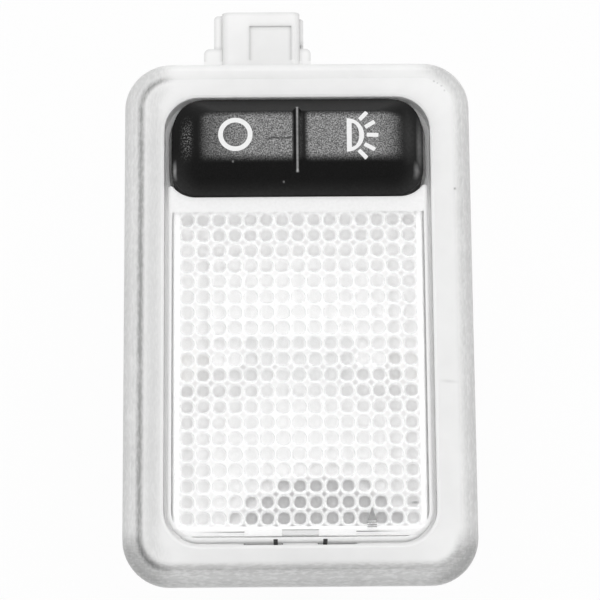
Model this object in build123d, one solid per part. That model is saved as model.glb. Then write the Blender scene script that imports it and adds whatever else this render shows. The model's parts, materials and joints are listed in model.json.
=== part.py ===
from build123d import *
import os
from math import floor, pi, tan

# Car dome light: a moulded housing with a prismatic lens, a three-position rocker switch,
# a festoon bulb, a hinged reflector and a spring that holds the lamp in the roof lining.
# Sizes are in millimetres. X runs across the lamp, Y along it towards the plug socket and
# Z out of the lens. Z = 0 is the seat plane, where the bezel's rim meets the lining.

# Bezel
bezel_width = 70.5
bezel_length = 107.4
bezel_corner = 9.5
border_side = 8.2
border_end = 7.85
bead_width = 3.3
bead_height = 3.0
bead_round = 1.75
valley_height = 2.4
lip_height = 4.3
lip_width = 0.6
opening_corner = 7.0
rim_wall = 2.0
skin = 1.6
hollow_drop = 2.0

# Chamber behind the bezel
wall = 1.8
chamber_depth = 20.0
lens_seat = 0.5
ledge_width = 1.7
ledge_thickness = 1.5
partition_wall = 1.6
floor_back = -10.0
floor_thickness = 1.6
shelf_width = 4.6

# Lens
lens_gap = 0.75
lens_top = 4.1
lens_plate = 1.8
lens_skirt = 1.2
lens_edge_round = 0.8
lens_ear = 2.0
cell_pitch = 3.2
cell_corner = 0.9
cell_height = 0.7
cap_width = 2.4
cap_height = 0.25
field_margin_side = 2.2
field_margin_low = 3.1
field_margin_high = 2.75
tab_width = 7.2
tab_offset = 7.35
tab_reach = 4.1
barb = 0.6
barb_height = 1.2
hook_width = 5.0
hook_thickness = 0.75
hook_inset = 7.65
latch_slit = 0.8
latch_offset = 4.9

# Rocker switch
rocker_width = 20.25
rocker_corner = 5.5
rocker_corner_high = 7.5
rocker_gap_side = 1.45
rocker_gap_end = 0.4
rocker_base = 4.0
rocker_face = 9.5
rocker_skirt = -3.5
rocker_wall = 1.6
rocker_roof = 1.8
flank_low = 6.3
flank_high = 4.2
flank_end = 6.1
rocker_edge_round = 1.2
rocker_mitre_round = 5.0
groove_width = 2.1
groove_floor = 0.4
groove_depth = 1.9
rib_thickness = 5.0
pivot_height = -1.5
trunnion_radius = 1.5
trunnion_engagement = 1.2
partition_gap = 0.6
swing_room = 0.95
rocker_lens_gap = 0.35
pivot_boss = 3.2
shelf_top = 0.0
shelf_thickness = 1.5
shelf_gap = 0.65

# Switch contacts
wiper_thickness = 0.4
wiper_width = 4.0
wiper_height = -5.0
wiper_arm = 12.0
pip_height = 0.6
pip_radius = 0.9
contact_head = 0.9
contact_head_radius = 1.6
contact_shank = 0.8
contact_gap = 0.4
ground_contact_x = 10.0
common_contact_offset = 5.45
cam_radius = 6.0
cam_width = 3.6
cam_offset = 5.55
cam_gap = 0.2
detent_thickness = 0.4
detent_foot = 15.0
detent_tail = 6.0
detent_pocket = 0.8

# Plug socket and pins
plug_x = -7.4
plug_width = 16.2
plug_height = 10.0
plug_front = -4.0
plug_reach = 13.2
plug_wall = 1.4
plug_corner = 1.5
socket_depth = 9.9
socket_base = 2.0
pin_pitch = 5.0
pin_width = 2.8
pin_reach = 7.0
panel_width = 8.7
panel_offset = 2.0
panel_top_gap = 3.0
panel_depth = 0.4
rail_width = 1.7
rail_height = 6.5
rail_setback = 0.2
catch_width = 0.8
catch_length = 5.6
catch_setback = 1.0
ear_reach = 5.6
ear_left = 3.8
ear_right = 2.3
ear_height = 7.5

# Busbars
bar_thickness = 0.6
bar_width = 3.2
bar_wall_gap = 1.0
bar_bend = 2.5
stake_width = 1.6
stake_head_width = 2.6
stake_head = 0.8
live_bar_setback = 6.35
ground_bar_setback = 5.35

# Bulb
clip_room = 6.55
bulb_radius = 5.5
bulb_offset = 3.4
bulb_z = -7.5
glass_wall = 0.7
neck_depth = 1.5
cap_length = 8.5
cap_radius = 4.25
cap_wall = 0.35
cap_tip_radius = 1.3
cap_cone = 3.4
filament_radius = 0.4
leaf_width = 7.0
leaf_height = 4.0
leaf_hole = 1.6
leaf_bend = 0.9

# Reflector
reflector_sheet = 0.5
reflector_gap = 1.2
reflector_gap_end = 1.6
reflector_flare = 5.0
reflector_corner = 6.0
reflector_rim = -12.4
reflector_back = -19.3
reflector_hinge_gap = 2.4
hinge_setback = 2.1
hinge_height = -18.2
hinge_pin_radius = 0.75
knuckle_radius = 1.3
lug_radius = 1.7
lug_width = 2.5
lug_inset = 7.05
rib_bead = 1.4
rib_bead_offset = 9.0
finger_hole = 5.0

# Retaining spring
spring_sheet = 0.6
spring_x = 4.05
spring_chord = 35.0
spring_rise = 9.6
spring_chord_y = -40.1
spring_height = -8.4
spring_width = 16.0
spring_drop = 6.0
spring_bulge = 4.4
spring_shoulder = -6.5
spring_bend = 1.0
spring_ledge = 4.4
spring_ledge_thickness = 1.6
spring_stake_offset = 6.0

# Clearances
running = 0.05
fit = 0.2
side_gap = 0.3

# Sizes that follow
opening_width = bezel_width - 2 * border_side
opening_length = bezel_length - 2 * border_end
half_width = opening_width / 2
half_length = opening_length / 2
back = -chamber_depth
floor_top = floor_back + floor_thickness
bar_back = floor_back - bar_thickness
bar_x = half_width - bar_wall_gap - bar_width / 2
rocker_length = opening_width - 2 * rocker_gap_side
rocker_high = half_length - rocker_gap_end
rocker_low = rocker_high - rocker_width
rocker_y = (rocker_low + rocker_high) / 2
partition_high = rocker_low - partition_gap
partition_low = partition_high - partition_wall
door_contact_y = rocker_y
common_contact_y = rocker_y - common_contact_offset
cam_y = rocker_y + cam_offset
live_bar_y = half_length - live_bar_setback
ground_bar_y = half_length - ground_bar_setback
lens_half = half_width - lens_gap
lens_low = lens_gap - half_length
lens_under = lens_top - lens_plate
hook_offset = half_width - hook_inset
plug_end = bezel_length / 2 + plug_reach
plug_middle = plug_front - plug_height / 2
socket_floor = plug_end - socket_depth
socket_wall_start = socket_floor - socket_base
pin_tip = socket_floor + pin_reach
bulb_half = half_width - clip_room
glass_half = bulb_half - cap_length
bulb_y = (partition_low - half_length) / 2 + bulb_offset
leaf_x = bulb_half + bar_thickness / 2
hinge_y = partition_low - hinge_setback
lug_offset = half_width - lug_inset
detent_stake_x = stake_head_width - detent_foot
spring_stake_xs = (spring_x - spring_stake_offset, spring_x + spring_stake_offset)
spring_stake_y = spring_ledge - stake_head_width - half_length


def prism(outline, low, high):
    """An XY outline raised between two heights."""
    return extrude(Pos(0, 0, low) * outline, high - low)


def slope(low, high):
    """Straight-sided transition between two outlines."""
    return loft([low, high], ruled=True)


def block(x, y, z):
    """A box between the low and high ends of each axis."""
    ends = (x, y, z)
    middle = [(low + high) / 2 for low, high in ends]
    return Pos(*middle) * Box(*[high - low for low, high in ends])


def rod_x(radius, low, high, y, z):
    return Pos((low + high) / 2, y, z) * Rot(0, 90, 0) * Cylinder(radius, high - low)


def rod_y(radius, low, high, x, z):
    return Pos(x, (low + high) / 2, z) * Rot(90, 0, 0) * Cylinder(radius, high - low)


def rod_z(radius, low, high, x, y):
    return Pos(x, y, (low + high) / 2) * Cylinder(radius, high - low)


def post_z(width, low, high, x, y):
    """A square post, or its hole."""
    return block((x - width / 2, x + width / 2), (y - width / 2, y + width / 2), (low, high))


def stake(x, y, seat, sheet):
    """A moulded stake from its seat through a sheet, with its head; sheet < 0 points down."""
    grip = seat + sheet
    tip = grip + (stake_head if sheet > 0 else -stake_head)
    head = post_z(stake_head_width, min(grip, tip), max(grip, tip), x, y)
    return head + post_z(stake_width, min(seat, grip), max(seat, grip), x, y)


def both_sides(solid):
    return solid + mirror(solid, about=Plane.YZ)


def bezel_outline(inset, z=0.0):
    """The bezel's rim, moved inwards."""
    width = bezel_width - 2 * inset
    length = bezel_length - 2 * inset
    return Pos(0, 0, z) * RectangleRounded(width, length, bezel_corner - inset)


def opening_outline(grow, z=0.0):
    """The bezel's opening, moved outwards."""
    width = opening_width + 2 * grow
    length = opening_length + 2 * grow
    return Pos(0, 0, z) * RectangleRounded(width, length, opening_corner + grow)


def rocker_outline(grow_x=0.0, grow_y=0.0):
    width = rocker_length + 2 * grow_x
    length = rocker_width + 2 * grow_y
    blank = Pos(0, rocker_y) * Rectangle(width, length)
    grow = min(grow_x, grow_y)
    blank = fillet(blank.vertices().sort_by(Axis.Y)[:2], rocker_corner + grow)
    return fillet(blank.vertices().sort_by(Axis.Y)[-2:], rocker_corner_high + grow)


def stake_points():
    """Where the moulded stakes hold the busbars."""
    yield (-(bar_x + abs(plug_x - pin_pitch)) / 2, live_bar_y)
    yield (plug_x, (door_contact_y + half_length) / 2)
    yield (ground_contact_x / 2, ground_bar_y)
    yield (bar_x / 2, common_contact_y)
    for side in (-1, 1):
        yield (side * bar_x, (bulb_y + partition_low) / 2)


def contact_points():
    """Centre and seat height of the door, ground and common contacts."""
    raised = wiper_height - wiper_thickness - contact_gap - contact_head
    return {
        "door": (0.0, door_contact_y, raised),
        "ground": (ground_contact_x, door_contact_y, floor_top),
        "common": (0.0, common_contact_y, raised),
    }


def make_bezel():
    shell = prism(bezel_outline(0), 0, bead_height)
    shell = fillet(shell.faces().sort_by(Axis.Z)[-1].edges(), bead_round)
    valley = bezel_outline(bead_width, valley_height)
    shell -= slope(valley, bezel_outline(bead_round, bead_height))
    shell += slope(valley, opening_outline(lip_width, lip_height))
    hollow_rim = valley_height - skin
    hollow = prism(bezel_outline(rim_wall), 0, hollow_rim)
    hollow += slope(
        bezel_outline(rim_wall, hollow_rim), opening_outline(wall, lip_height - hollow_drop))
    return shell - hollow


def make_chamber():
    """Chamber walls, lens ledge, partition, switch floor, rocker shelf and busbar shelves."""
    shell = prism(opening_outline(wall) - opening_outline(0), back, lip_height - skin / 2)
    ring = opening_outline(0) - opening_outline(-ledge_width)
    ledge = prism(ring, lens_seat - ledge_thickness, lens_seat)
    lamp_bay = block(
        (-half_width, half_width), (-half_length, partition_high), (back, lip_height))
    shell += ledge & lamp_bay
    across = (-half_width, half_width)
    shell += block(across, (partition_low, partition_high), (back, lens_seat))
    shell += rod_y(pivot_boss, partition_low, partition_high, 0, pivot_height)
    inside = opening_outline(0) & (Pos(0, half_length) * Rectangle(
        opening_width, 2 * (half_length - partition_low)))
    shell += prism(inside, floor_back, floor_top)
    rocker_hole = rocker_outline(shelf_gap, partition_gap + running)
    switch_bay = Pos(0, half_length) * Rectangle(opening_width, 2 * (half_length - partition_high))
    shelf = (opening_outline(0) & switch_bay) - rocker_hole
    shell += prism(shelf, shelf_top - shelf_thickness, shelf_top)
    shell += both_sides(block(
        (half_width - shelf_width, half_width),
        (bulb_y - leaf_width / 2 - side_gap, partition_high),
        (floor_back, floor_back + ledge_thickness)))
    return shell


def make_plug_shroud():
    """Plug socket with its side rail, its catch and the two ears that hook over the lining."""
    start = half_length + wall / 2
    profile = Pos(plug_x, 0, plug_middle) * (
        Plane.XZ * RectangleRounded(plug_width, plug_height, plug_corner))
    shroud = Pos(0, start) * extrude(profile, -(plug_end - start))
    left = plug_x - plug_width / 2
    right = plug_x + plug_width / 2
    ear_z = (plug_middle - ear_height / 2, plug_middle + ear_height / 2)
    ear_end = bezel_length / 2 + ear_reach
    ears = block((left - ear_left, right + ear_right), (start, ear_end), ear_z)
    ears = fillet(ears.edges().filter_by(Axis.Z).sort_by(Axis.Y)[-2:], ear_right / 2)
    rail_z = (plug_middle - rail_height / 2, plug_middle + rail_height / 2)
    rail = block((left - rail_width, plug_x), (start, plug_end - rail_setback), rail_z)
    rail = fillet(rail.edges().filter_by(Axis.Z).sort_by(Axis.X)[:2], rail_width / 2)
    catch_end = plug_end - catch_setback
    catch = block((plug_x, right + catch_width), (catch_end - catch_length, catch_end), rail_z)
    catch = chamfer(catch.edges().filter_by(Axis.Z).sort_by(Axis.X)[-2:], catch_width / 2)
    shroud += ears
    shroud += rail
    shroud += catch
    inner = Plane.XZ * RectangleRounded(
        plug_width - 2 * plug_wall, plug_height - 2 * plug_wall, plug_corner / 2)
    inner = Pos(plug_x, 0, plug_middle) * inner
    shroud -= Pos(0, socket_floor) * extrude(inner, -socket_depth)
    shroud -= Pos(0, start) * extrude(inner, -(socket_wall_start - start))
    panel_x = plug_x + panel_offset
    shroud -= block(
        (panel_x - panel_width / 2, panel_x + panel_width / 2),
        (half_length + wall, plug_end - panel_top_gap),
        (plug_front - panel_depth, plug_front))
    return shroud


def pin_xs():
    return [plug_x + step * pin_pitch for step in (-1, 0, 1)]


def make_housing():
    housing = make_bezel() + make_chamber()
    housing -= prism(opening_outline(0), lens_seat, lip_height)
    housing += make_plug_shroud()

    # Way through the end wall for the pins, and a slot for each in the socket's base
    inner_x = plug_width / 2 - plug_wall
    inner_z = plug_height / 2 - plug_wall
    housing -= block(
        (plug_x - inner_x, plug_x + inner_x),
        (half_length, half_length + wall),
        (plug_middle - inner_z, floor_back))
    for x in pin_xs():
        housing -= block(
            (x - pin_width / 2 - fit, x + pin_width / 2 + fit),
            (socket_wall_start, socket_floor),
            (bar_back - fit, floor_back + fit))

    # Bores for the rocker's trunnions
    bore = trunnion_radius + running
    housing -= rod_y(bore, partition_low, partition_high, 0, pivot_height)
    housing -= rod_y(bore, half_length, half_length + wall, 0, pivot_height)

    # Snap windows for the lens, with a notch in the ledge over each lower one and a slit to reach it
    barb_low = lens_seat - tab_reach - fit
    barb_z = (barb_low, barb_low + barb_height + 2 * fit)
    tab_room = tab_width / 2 + side_gap
    hook_room = hook_width / 2 + side_gap
    windows = block(
        (tab_offset - tab_room, tab_offset + tab_room),
        (-half_length - wall, -half_length), barb_z)
    windows += block(
        (hook_offset - hook_room, hook_offset + hook_room),
        (partition_low, partition_high), barb_z)
    ledge_z = (lens_seat - ledge_thickness, lens_seat)
    windows += block(
        (tab_offset - tab_room, tab_offset + tab_room),
        (lens_low - fit, -half_length + ledge_width), ledge_z)
    windows += block(
        (latch_offset - latch_slit / 2, latch_offset + latch_slit / 2),
        (-half_length, lens_low), ledge_z)
    housing -= both_sides(windows)

    # Notches that let the busbars pass the partition
    housing -= both_sides(block(
        (bar_x - bar_width / 2 - fit, bar_x + bar_width / 2 + fit),
        (partition_low, partition_high), (back, floor_back)))

    # Raised seats and holes for the contacts, and the stakes on the busbars
    for x, y, seat in contact_points().values():
        if seat > floor_top:
            housing += post_z(2 * contact_head_radius, floor_top, seat, x, y)
        housing -= rod_z(contact_shank + running, floor_back, seat, x, y)
    for x, y in stake_points():
        housing += stake(x, y, floor_back, -bar_thickness)

    # Pocket under the detent spring and the post that holds its foot
    cam_low = cam_y - cam_width / 2 - fit
    cam_high = cam_y + cam_width / 2 + fit
    housing -= block(
        (-detent_foot / 2, detent_tail + fit), (cam_low, cam_high),
        (floor_top - detent_pocket, floor_top))
    housing += stake(detent_stake_x, cam_y, floor_top, detent_thickness)

    # Lugs for the reflector's hinge pin
    for x in (-lug_offset, lug_offset):
        lug = rod_x(lug_radius, x - lug_width / 2, x + lug_width / 2, hinge_y, hinge_height)
        lug += block(
            (x - lug_width / 2, x + lug_width / 2), (hinge_y, partition_low),
            (hinge_height - lug_radius, hinge_height + lug_radius))
        housing += lug
    housing -= rod_x(
        hinge_pin_radius + running, -half_width, half_width, hinge_y, hinge_height)

    # Ledge and slot for the retaining spring
    ledge_y = (-half_length, -half_length + spring_ledge)
    ledge_x = (spring_x - spring_width, spring_x + spring_width)
    housing += block(
        ledge_x, ledge_y, (spring_height - spring_ledge_thickness, spring_height))
    slot = spring_width / 2 + fit
    housing -= block(
        (spring_x - slot, spring_x + slot), (-half_length - wall, -half_length),
        (spring_height, spring_height + spring_sheet + fit))
    for x in spring_stake_xs:
        housing += stake(x, spring_stake_y, spring_height, spring_sheet)
    return housing


def octagon(half, corner, z):
    """Corner points of a square with its corners cut off, in order."""
    flat = half - corner
    points = []
    for turn in range(4):
        for y in (-flat, flat):
            points.append(Vector(half, y, z).rotate(Axis.Z, 90 * turn))
    return points


def make_pillow():
    """One prism cell below the lens's inner face: steep octagonal flanks and a shallow cap."""
    base = octagon(cell_pitch / 2, cell_corner, 0)
    cap_half = cap_width / 2
    rim = octagon(cap_half, cap_half * (1 - tan(pi / 8)), cap_height - cell_height)
    tip = Vector(0, 0, -cell_height)
    faces = [Face(Wire.make_polygon(base))]
    for i in range(len(base)):
        faces.append(Face(Wire.make_polygon([base[i - 1], base[i], rim[i], rim[i - 1]])))
        faces.append(Face(Wire.make_polygon([rim[i - 1], rim[i], tip])))
    return Solid(Shell(faces))


def make_lens():
    """Clear cover with a pillow for each cell on its inner face."""
    ear_tip = rocker_low + lens_ear
    blank = Pos(0, (lens_low + ear_tip) / 2) * Rectangle(2 * lens_half, ear_tip - lens_low)
    lower_corners = blank.vertices().sort_by(Axis.Y)[:2]
    blank = fillet(lower_corners, opening_corner - lens_gap)
    outline = blank - rocker_outline(swing_room, rocker_lens_gap)
    lens = prism(outline, lens_seat, lens_top)
    rim = lens.faces().sort_by(Axis.Z)[-1].edges()
    lens = fillet(rim.filter_by(lambda edge: edge.center().Y < partition_low), lens_edge_round)
    inside = half_width - lens_gap - lens_skirt
    lens -= block(
        (-inside, inside), (lens_low + lens_skirt, half_length), (lens_seat, lens_under))

    # Snap tabs at the lower end and hooks beside the partition
    barb_low = lens_seat - tab_reach
    tab_x = (tab_offset - tab_width / 2, tab_offset + tab_width / 2)
    hook_x = (hook_offset - hook_width / 2, hook_offset + hook_width / 2)
    hook_y = partition_low - fit
    clips = block(tab_x, (lens_low, lens_low + lens_skirt), (barb_low, lens_under))
    clips += block(
        tab_x, (-half_length - barb, lens_low), (barb_low, barb_low + barb_height))
    clips += block(hook_x, (hook_y - hook_thickness, hook_y), (barb_low, lens_under))
    clips += block(hook_x, (hook_y, hook_y + barb + fit), (barb_low, barb_low + barb_height))
    lens += both_sides(clips)

    columns = floor(2 * (lens_half - field_margin_side) / cell_pitch)
    field_low = lens_low + field_margin_low
    field_high = rocker_low - rocker_lens_gap - field_margin_high
    rows = floor((field_high - field_low) / cell_pitch)
    field_y = field_low + rows * cell_pitch / 2
    field = Pos(0, field_y, lens_under)
    cell = make_pillow()
    places = GridLocations(cell_pitch, cell_pitch, columns, rows)
    return lens.fuse(*[field * place * cell for place in places])


def is_mitre(edge):
    """Whether an edge runs down a corner of the crown."""
    direction = edge.tangent_at(0)
    return all(abs(part) > 0.1 for part in direction)


def make_rocker():
    """Hollow rocker with a sloping crown, a finger groove and two trunnions."""
    end = rocker_length / 2
    face_end = end - flank_end
    face_y = (rocker_low + flank_low, rocker_high - flank_high)
    across = Plane.YZ * Polygon(
        (rocker_low, rocker_skirt), (rocker_high, rocker_skirt), (rocker_high, rocker_base),
        (face_y[1], rocker_face), (face_y[0], rocker_face), (rocker_low, rocker_base), align=None)
    along = Plane.XZ * Polygon(
        (-end, rocker_skirt), (end, rocker_skirt), (end, rocker_base),
        (face_end, rocker_face), (-face_end, rocker_face), (-end, rocker_base), align=None)
    rocker = prism(rocker_outline(), rocker_skirt, rocker_face)
    rocker &= Pos(-end) * extrude(across, rocker_length)
    rocker &= Pos(0, rocker_low) * extrude(along, -rocker_width)
    mitres = rocker.edges().filter_by(GeomType.LINE).filter_by(is_mitre)
    rocker = fillet(mitres, rocker_mitre_round)
    rocker = fillet(rocker.faces().sort_by(Axis.Z)[-1].edges(), rocker_edge_round)
    shoulder = rocker_base - rocker_roof / 2
    inside = prism(rocker_outline(-rocker_wall, -rocker_wall), rocker_skirt, shoulder)
    inside += block((-face_end, face_end), face_y, (shoulder, rocker_face - rocker_roof))
    rib = block(
        (-rib_thickness / 2, rib_thickness / 2), (rocker_low, rocker_high),
        (wiper_height, rocker_face))
    cam = rod_y(cam_radius, cam_y - cam_width / 2, cam_y + cam_width / 2, 0, pivot_height)
    cam &= block(
        (-rib_thickness / 2, rib_thickness / 2), (rocker_low, rocker_high),
        (pivot_height - cam_radius, pivot_height))
    rocker -= inside - rib
    below_skirt = block(
        (-rib_thickness / 2, rib_thickness / 2),
        (rocker_low + rocker_wall, rocker_high - rocker_wall), (wiper_height, rocker_skirt))
    rocker += below_skirt
    rocker += cam
    top = rocker_face + fit
    spread = (groove_width - groove_floor) / 2 * (1 + fit / groove_depth)
    groove = Plane.XZ * Polygon(
        (-groove_floor / 2 - spread, top), (-groove_floor / 2, rocker_face - groove_depth),
        (groove_floor / 2, rocker_face - groove_depth), (groove_floor / 2 + spread, top),
        align=None)
    rocker -= Pos(0, rocker_low) * extrude(groove, -rocker_width)
    near = partition_high - trunnion_engagement
    far = half_length + trunnion_engagement
    rocker += rod_y(trunnion_radius, near, rocker_low + rocker_wall, 0, pivot_height)
    rocker += rod_y(trunnion_radius, rocker_high - rocker_wall, far, 0, pivot_height)
    return rocker


def make_wiper():
    """Bronze contact under the rocker: an arm to the ground contact and a common finger."""
    low = wiper_height - wiper_thickness
    arm = block(
        (-rib_thickness / 2, wiper_arm),
        (door_contact_y - wiper_width / 2, door_contact_y + wiper_width / 2),
        (low, wiper_height))
    finger = block(
        (-rib_thickness / 2, rib_thickness / 2),
        (common_contact_y - wiper_width / 2, door_contact_y), (low, wiper_height))
    pip = Pos(ground_contact_x, door_contact_y, low) * Cone(
        pip_radius / 2, pip_radius, pip_height, align=(Align.CENTER, Align.CENTER, Align.MAX))
    return arm + finger + pip


def make_contact(x, y, seat):
    """Contact rivet: a head on its seat and a shank swaged flush behind the busbar."""
    head = rod_z(contact_head_radius, seat, seat + contact_head, x, y)
    return head + rod_z(contact_shank, bar_back, seat, x, y)


def make_detent_spring():
    """Steel leaf: a foot on its post and a bump under the rocker's cam."""
    top = pivot_height - cam_radius - cam_gap
    middle = floor_top + detent_thickness / 2
    crest = top - detent_thickness / 2
    wave = cam_radius / 2
    path = Polyline(
        (-detent_foot, middle), (-wave, middle), (-wave / 3, crest), (wave / 3, crest),
        (wave, middle), (detent_tail, middle))
    leaf = Plane.XZ * trace(path, detent_thickness)
    leaf = Pos(0, cam_y + cam_width / 2) * extrude(leaf, cam_width)
    return leaf - post_z(
        stake_width + 2 * running, floor_top, floor_top + detent_thickness,
        detent_stake_x, cam_y)


def strip(points, width):
    """Flat busbar strip along a path in plan, behind the switch floor."""
    path = FilletPolyline(*points, radius=bar_bend)
    return prism(trace(path, width), bar_back, floor_back)


def pin_blade(x, from_y):
    blade = block(
        (x - pin_width / 2, x + pin_width / 2), (from_y, pin_tip), (bar_back, floor_back))
    tip = blade.edges().filter_by(Axis.Z).sort_by(Axis.Y)[-2:]
    return chamfer(tip, pin_width / 4)


def bulb_clip(side):
    """Foot and upright leaf, with a hole that takes the bulb's tip."""
    foot_z = (bar_back + floor_back) / 2
    path = FilletPolyline(
        (bar_x, foot_z), (leaf_x, foot_z), (leaf_x, bulb_z + leaf_height), radius=leaf_bend)
    clip = Plane.XZ * trace(path, bar_thickness)
    clip = Pos(0, bulb_y + leaf_width / 2) * extrude(clip, leaf_width)
    clip -= rod_x(leaf_hole, leaf_x - bar_thickness, leaf_x + bar_thickness, bulb_y, bulb_z)
    return clip if side > 0 else mirror(clip, about=Plane.YZ)


def with_holes(bar):
    """Cut the stake and rivet holes that fall on a busbar."""
    for x, y in stake_points():
        bar -= post_z(stake_width + 2 * running, bar_back, floor_back, x, y)
    for x, y, _ in contact_points().values():
        bar -= rod_z(contact_shank + running, bar_back, floor_back, x, y)
    return bar


def make_live_busbar():
    x = pin_xs()[0]
    route = [(x, half_length), (x, live_bar_y), (-bar_x, live_bar_y), (-bar_x, bulb_y)]
    return with_holes(strip(route, bar_width) + pin_blade(x, half_length) + bulb_clip(-1))


def make_door_busbar():
    x = pin_xs()[1]
    route = [(x, half_length), (x, door_contact_y), (bar_width / 2, door_contact_y)]
    return with_holes(strip(route, bar_width) + pin_blade(x, half_length))


def make_ground_busbar():
    x = pin_xs()[2]
    route = [
        (x, half_length), (x, ground_bar_y), (ground_contact_x, ground_bar_y),
        (ground_contact_x, door_contact_y - bar_width / 2)]
    return with_holes(strip(route, bar_width) + pin_blade(x, half_length))


def make_return_busbar():
    route = [(-bar_width / 2, common_contact_y), (bar_x, common_contact_y), (bar_x, bulb_y)]
    return with_holes(strip(route, bar_width) + bulb_clip(1))


def turned(profile):
    """Revolve an (along, radius) profile about the bulb's axis."""
    return Pos(0, bulb_y, bulb_z) * revolve(Plane.XY * make_face(profile), Axis.X)


def make_glass():
    """Clear tube whose necked ends sit in the caps."""
    neck = cap_radius - cap_wall - running
    end = glass_half + neck_depth
    straight = glass_half - neck_depth
    outside = [(end, neck), (glass_half, neck), (straight, bulb_radius)]
    inside = [(along, radius - glass_wall) for along, radius in reversed(outside)]
    right = [*inside, *outside]
    left = [(-along, radius) for along, radius in reversed(right)]
    return turned(Polyline(*right, *left, close=True))


def make_cap(side):
    """Metal cap: a cup over the glass neck with a conical tip."""
    start = glass_half + running
    shoulder = bulb_half - cap_cone
    bore = cap_radius - cap_wall
    profile = Polyline(
        (start, bore), (start, cap_radius), (shoulder, cap_radius),
        (bulb_half, cap_tip_radius), (bulb_half, 0), (shoulder, 0), (shoulder, bore),
        close=True)
    cap = turned(profile)
    return cap if side > 0 else mirror(cap, about=Plane.YZ)


def make_filament():
    """Coiled wire from cap to cap, drawn as its outer cylinder."""
    reach = bulb_half - cap_cone
    return rod_x(filament_radius, -reach, reach, bulb_y, bulb_z)


def reflector_tray(z_low, z_high, shrink):
    """Flared tray form; shrink moves its walls inwards."""
    top_half = half_width - reflector_gap - shrink
    low = reflector_gap_end - half_length + shrink
    length = 2 * (partition_low - low)
    flare = reflector_flare
    middle = low + length / 2
    base = RectangleRounded(2 * (top_half - flare), length - 2 * flare, reflector_corner)
    rim = RectangleRounded(2 * top_half, length, reflector_corner)
    return slope(Pos(0, middle, z_low) * base, Pos(0, middle, z_high) * rim)


def make_reflector():
    """Drawn tray, open at its hinge end, with pressed ribs and a rolled knuckle."""
    sheet = reflector_sheet
    edge = hinge_y - reflector_hinge_gap
    tray = reflector_tray(reflector_back, reflector_rim, 0)
    tray -= reflector_tray(reflector_back + sheet, reflector_rim, sheet)
    tray &= block(
        (-half_width, half_width), (-half_length, edge), (reflector_back, reflector_rim))
    rib_end = reflector_flare + reflector_gap_end + rib_bead - half_length
    for x in (-rib_bead_offset, rib_bead_offset):
        rib = rod_y(rib_bead, rib_end + reflector_corner, edge - reflector_corner, x,
                    reflector_back + sheet - rib_bead / 2)
        pressed = rod_y(rib_bead - sheet, rib_end + reflector_corner + sheet,
                        edge - reflector_corner - sheet, x,
                        reflector_back + sheet - rib_bead / 2)
        above = block((-half_width, half_width), (-half_length, edge),
                      (reflector_back + sheet / 2, reflector_rim))
        tray += rib & above
        tray -= pressed
    tray -= rod_z(finger_hole, reflector_back, reflector_rim, 0,
                  rib_end + finger_hole)
    end = lug_offset - lug_width / 2 - side_gap
    tray += block((-end, end), (edge, hinge_y), (reflector_back, reflector_back + sheet))
    tray += rod_x(knuckle_radius, -end, end, hinge_y, hinge_height)
    return tray - rod_x(
        hinge_pin_radius + running, -half_width, half_width, hinge_y, hinge_height)


def make_reflector_pin():
    end = lug_offset + lug_width / 2
    return rod_x(hinge_pin_radius, -end, end, hinge_y, hinge_height)


def make_retaining_spring():
    """Arched base plate on its ledge, and a hairpin outside that grips the lining."""
    reach = spring_chord / 2
    base = make_face(
        Polyline((-reach, spring_chord_y), (-reach, -half_length + fit),
                 (reach, -half_length + fit), (reach, spring_chord_y))
        + ThreePointArc((-reach, spring_chord_y), (0, spring_chord_y + spring_rise),
                        (reach, spring_chord_y)))
    plate = Pos(spring_x, 0) * prism(base, spring_height, spring_height + spring_sheet)
    middle = spring_height + spring_sheet / 2
    outside = -half_length - wall - spring_sheet
    path = FilletPolyline(
        (-half_length + spring_ledge, middle), (outside - spring_bend / 2, middle),
        (outside - spring_bend / 2, middle - spring_drop),
        (outside - spring_bulge / 2, middle - spring_drop),
        (outside - spring_bulge + spring_bend / 2, spring_shoulder),
        (outside - spring_bend / 2, spring_shoulder + spring_bulge / 2), radius=spring_bend / 2)
    hairpin = Plane.YZ * trace(path, spring_sheet)
    plate += Pos(spring_x - spring_width / 2) * extrude(hairpin, spring_width)
    for x in spring_stake_xs:
        plate -= post_z(stake_width + 2 * running, spring_height,
                        spring_height + spring_sheet, x, spring_stake_y)
    return plate


pieces = {
    "housing": make_housing(),
    "lens": make_lens(),
    "switch_rocker": make_rocker(),
    "switch_wiper": make_wiper(),
    "detent_spring": make_detent_spring(),
    "live_busbar": make_live_busbar(),
    "door_busbar": make_door_busbar(),
    "ground_busbar": make_ground_busbar(),
    "return_busbar": make_return_busbar(),
    "bulb_glass": make_glass(),
    "bulb_cap_left": make_cap(-1),
    "bulb_cap_right": make_cap(1),
    "bulb_filament": make_filament(),
    "reflector": make_reflector(),
    "reflector_pin": make_reflector_pin(),
    "retaining_spring": make_retaining_spring(),
}
for name, (x, y, seat) in contact_points().items():
    pieces[name + "_contact"] = make_contact(x, y, seat)

os.makedirs("parts", exist_ok=True)
for name, solid in pieces.items():
    export_step(solid, "parts/" + name + ".step")
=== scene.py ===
"""Looks for the car dome light: materials, prismatic lens, switch symbols, light and camera."""
import json
import math
from collections import Counter

import bmesh
import bpy
from mathutils import Matrix, Vector
from mathutils.bvhtree import BVHTree


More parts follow.
